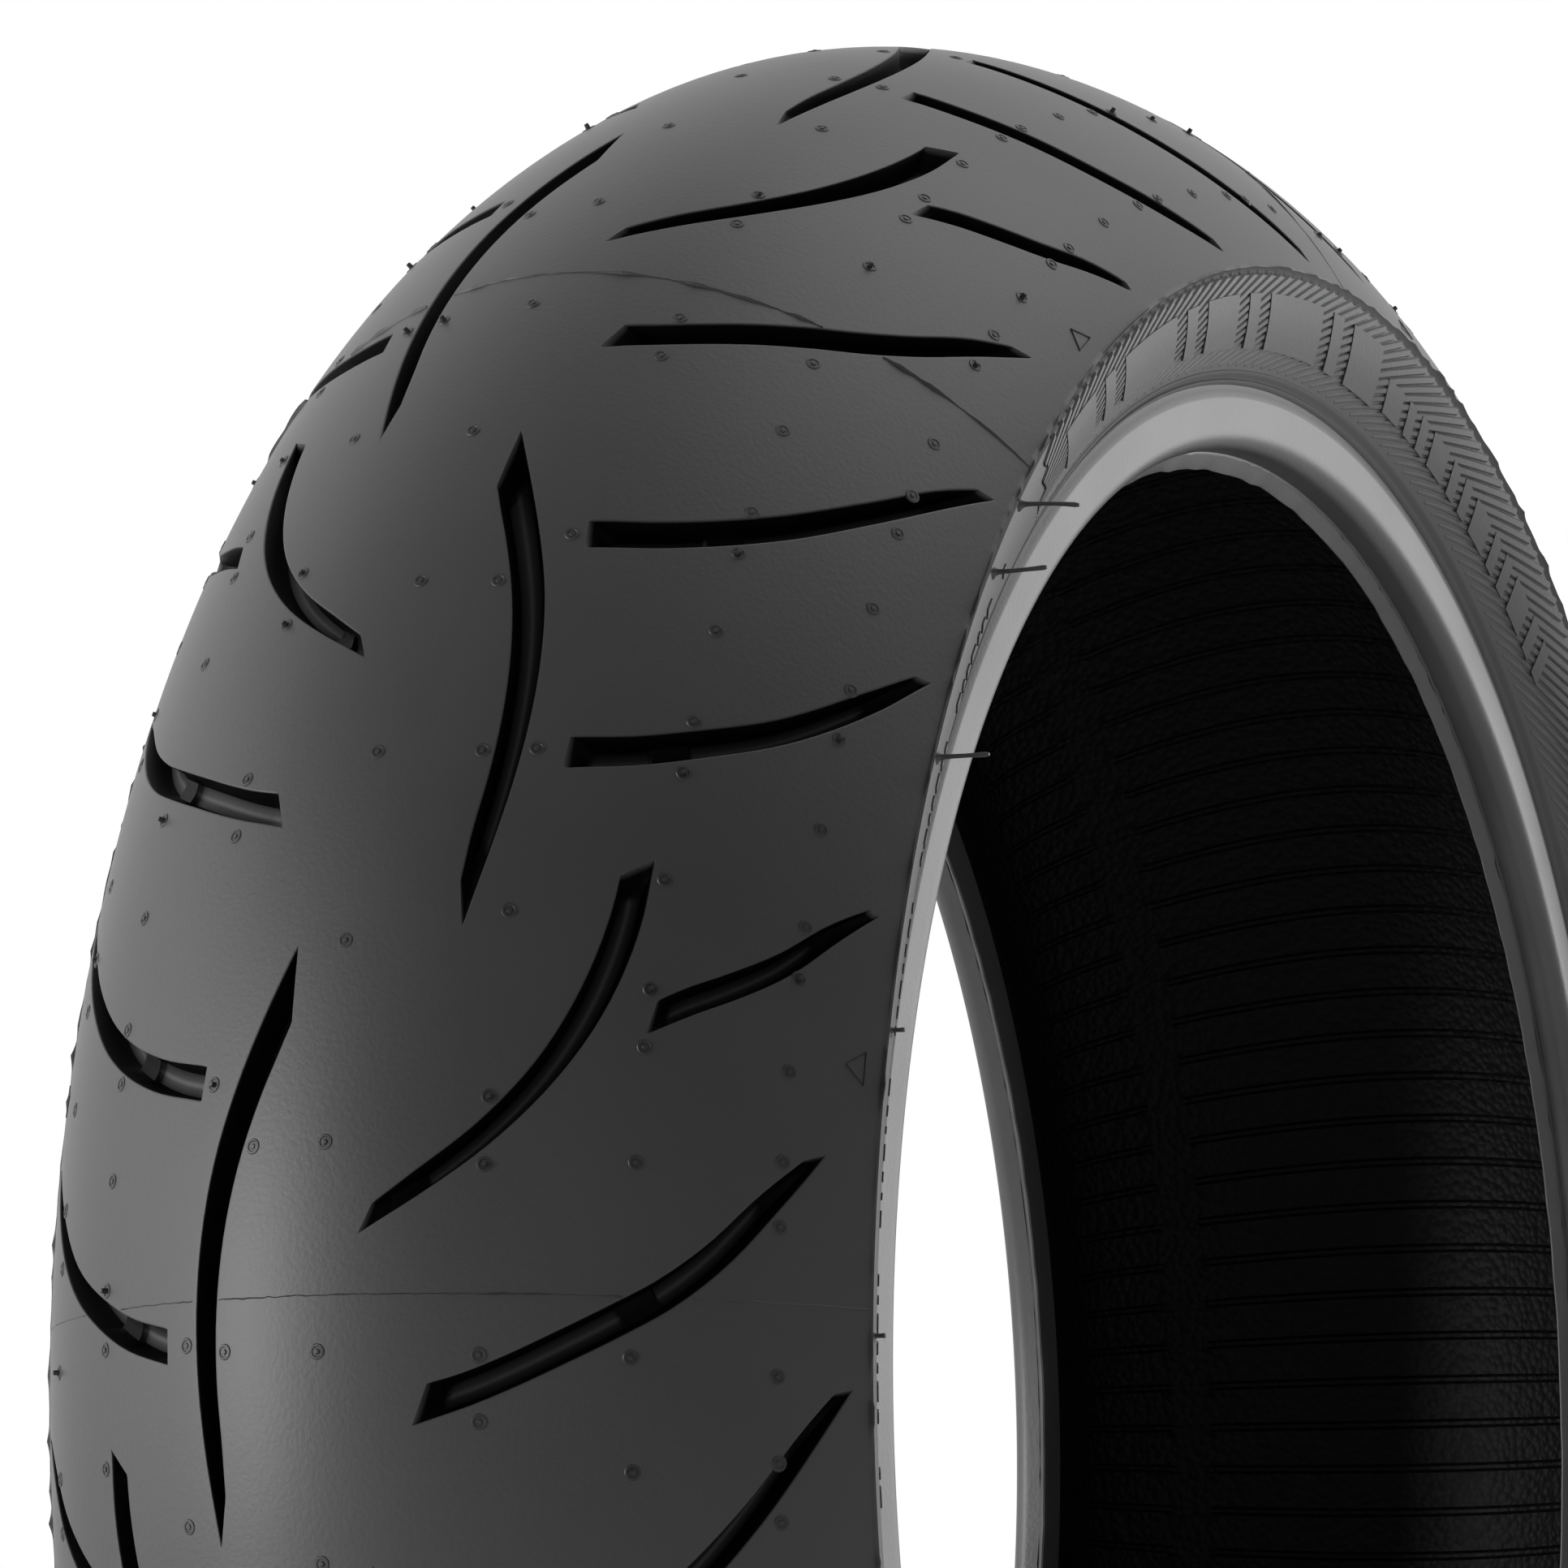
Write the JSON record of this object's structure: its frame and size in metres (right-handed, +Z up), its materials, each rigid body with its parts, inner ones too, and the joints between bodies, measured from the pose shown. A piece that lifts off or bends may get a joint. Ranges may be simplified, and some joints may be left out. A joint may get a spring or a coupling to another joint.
{
  "type": "motorcycle tire",
  "caption": "Wide radial rear motorcycle tire off its rim, round tread crown with curved sweeping grooves, ribbed sidewalls and open beads.",
  "frame": {"origin": "centre of the wheel, on the axle line midway between the beads", "axes": "+Y along the axle towards the tire's left side, +Z up, the tire rolls along X"},
  "size_m": [0.6319, 0.1858, 0.632],
  "materials": {
    "tread_rubber": "dark grey tread rubber, satin, fine mould marks",
    "base_rubber": "hidden tread base compound, matte",
    "sidewall_rubber": "moulded sidewall rubber, fine slanted ribbing",
    "chafer_rubber": "smooth bead rubber, slightly shiny",
    "liner_rubber": "black air-tight liner rubber, moulded ribs",
    "cushion_rubber": "hidden soft joining rubber",
    "filler_rubber": "hidden hard bead filler rubber",
    "ply_fabric": "rubber-coated radial textile cord ply",
    "wrap_fabric": "rubber-coated fabric wrap",
    "belt_strip": "rubber-coated steel cord strip",
    "bead_wire": "brass-coated drawn steel wire"
  },
  "bodies": {
    "root": {"tread_cap": "tread_rubber", "tread_base": "base_rubber", "belt_turns": "belt_strip", "carcass_ply": "ply_fabric", "inner_liner": "liner_rubber", "tread_wing_left": "sidewall_rubber", "tread_wing_right": "sidewall_rubber", "belt_edge_cushion_left": "cushion_rubber", "belt_edge_cushion_right": "cushion_rubber", "bead_wrap_left": "wrap_fabric", "bead_wrap_right": "wrap_fabric", "bead_core_left": "bead_wire", "bead_core_right": "bead_wire", "bead_filler_left": "filler_rubber", "bead_filler_right": "filler_rubber", "ply_edge_strip_left": "cushion_rubber", "ply_edge_strip_right": "cushion_rubber", "chafer_left": "chafer_rubber", "chafer_right": "chafer_rubber", "toe_guard_left": "chafer_rubber", "toe_guard_right": "chafer_rubber", "sidewall_left": "sidewall_rubber", "sidewall_right": "sidewall_rubber"}
  },
  "joints": []
}
